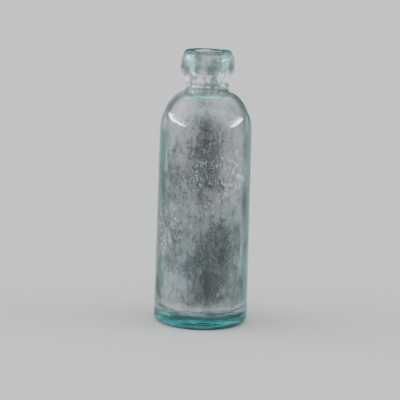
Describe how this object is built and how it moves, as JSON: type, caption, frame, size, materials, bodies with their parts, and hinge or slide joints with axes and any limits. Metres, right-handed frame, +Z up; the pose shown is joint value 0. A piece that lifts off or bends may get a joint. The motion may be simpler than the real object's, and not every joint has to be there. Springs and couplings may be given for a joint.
{
  "type": "glass soda bottle",
  "caption": "Round-shouldered blown glass soda bottle with a short neck, a bulging applied lip and a spring stopper that slides in the bore.",
  "frame": {"origin": "centre of the base, on the plane the bottle stands on", "axes": "+Z up along the bottle's axis, -Y towards the front"},
  "size_m": [0.0588, 0.0588, 0.1702],
  "materials": {
    "bottle_glass": "aqua glass, hazed and stained",
    "lip_glass": "clear aqua glass, tooled",
    "spring_wire": "weathered tinned wire",
    "stem_metal": "tarnished",
    "upper_plate_metal": "weathered tinned plate",
    "gasket_rubber": "aged, matt",
    "lower_plate_metal": "weathered tinned plate",
    "washer_metal": "tarnished"
  },
  "bodies": {
    "bottle": {"bottle_body": "bottle_glass", "applied_lip": "lip_glass"},
    "stopper": {"spring_loop": "spring_wire", "stopper_stem": "stem_metal", "upper_plate": "upper_plate_metal", "gasket": "gasket_rubber", "lower_plate": "lower_plate_metal", "clench_washer": "washer_metal"}
  },
  "joints": [
    {"name": "stopper_slide", "type": "slide", "parent": "bottle", "child": "stopper", "axis": [0, 0, 1], "range_m": [0, 0.02]}
  ]
}
